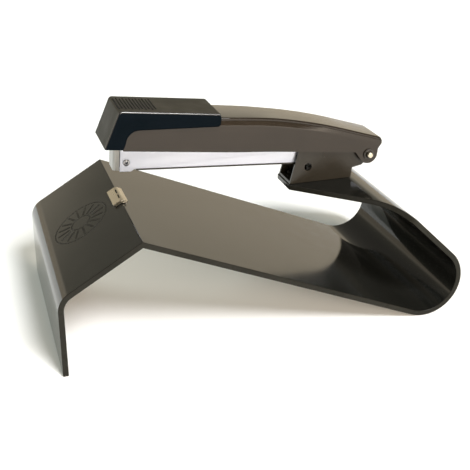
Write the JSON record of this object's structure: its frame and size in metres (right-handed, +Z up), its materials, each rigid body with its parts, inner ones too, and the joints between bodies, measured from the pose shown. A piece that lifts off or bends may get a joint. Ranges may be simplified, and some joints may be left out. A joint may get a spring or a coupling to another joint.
{
  "type": "saddle stapler",
  "caption": "Booklet stapler: a desk stapler head on a wide bent-sheet base whose ridge holds the anvil, so folded sheets can be stapled on the fold.",
  "frame": {"origin": "on the floor under the middle of the whole length", "axes": "+X from the stapling end to the hinge end, +Y across the width, +Z up"},
  "size_m": [0.2878, 0.1574, 0.1547],
  "materials": {
    "base_paint": "glossy dark taupe paint",
    "handle_paint": "satin brown-grey paint",
    "bracket_paint": "satin dark brown paint",
    "cap_plastic": "glossy black moulding with a matt top",
    "bright_steel": "bright zinc-plated steel",
    "nickel": "nickel plate",
    "spring_steel": "plain spring steel",
    "dark_steel": "blackened steel"
  },
  "bodies": {
    "base": {"base_sheet": "base_paint", "anvil_plate": "nickel", "anvil_shoe": "nickel", "anvil_rivet_1": "dark_steel", "anvil_rivet_2": "dark_steel", "hinge_bracket": "bracket_paint", "bracket_screw_1": "dark_steel", "bracket_screw_2": "dark_steel", "bracket_screw_3": "dark_steel", "bracket_screw_4": "dark_steel", "bracket_nut_1": "bright_steel", "bracket_nut_2": "bright_steel", "bracket_nut_3": "bright_steel", "bracket_nut_4": "bright_steel", "pivot_pin": "nickel", "pin_washer_near": "dark_steel", "pin_washer_far": "dark_steel", "pivot_spacer_near": "spring_steel", "pivot_spacer_far": "spring_steel", "lift_spring": "spring_steel"},
    "magazine": {"magazine_channel": "bright_steel", "front_plate": "bright_steel", "core_rail": "spring_steel", "rail_plug": "spring_steel", "front_rivet_near": "nickel", "front_rivet_far": "nickel", "runner_strip": "dark_steel", "staple_strip": "bright_steel", "guide_rod": "bright_steel", "spring_anchor": "spring_steel", "spring_saddle": "spring_steel", "magazine_bush": "spring_steel", "handle_spring": "spring_steel", "pusher_spring": "spring_steel"},
    "pusher": {"pusher": "spring_steel"},
    "handle": {"handle_shell": "handle_paint", "nose_cap": "cap_plastic", "driver_blade": "spring_steel", "driver_leaf": "spring_steel", "leaf_rivet_1": "bright_steel", "leaf_rivet_2": "bright_steel"}
  },
  "joints": [
    {"name": "magazine_hinge", "type": "hinge", "parent": "base", "child": "magazine", "pos_m": [0.09541, 0, 0.1045], "axis": [0, 1, 0], "range_deg": [-5.8, 0], "stiffness_Nm_per_rad": 6, "springref_deg": 5.73, "deforming": ["lift_spring"]},
    {"name": "handle_hinge", "type": "hinge", "parent": "magazine", "child": "handle", "pos_m": [0.09541, 0, 0.1045], "axis": [0, 1, 0], "range_deg": [-2.5, 70], "stiffness_Nm_per_rad": 8, "springref_deg": 1.18, "deforming": ["handle_spring"]},
    {"name": "pusher_slide", "type": "slide", "parent": "magazine", "child": "pusher", "axis": [0.9974, 0, -0.0715], "range_m": [0, 0.045], "stiffness_N_per_m": 20, "springref_m": -0.04, "deforming": ["pusher_spring"]}
  ]
}
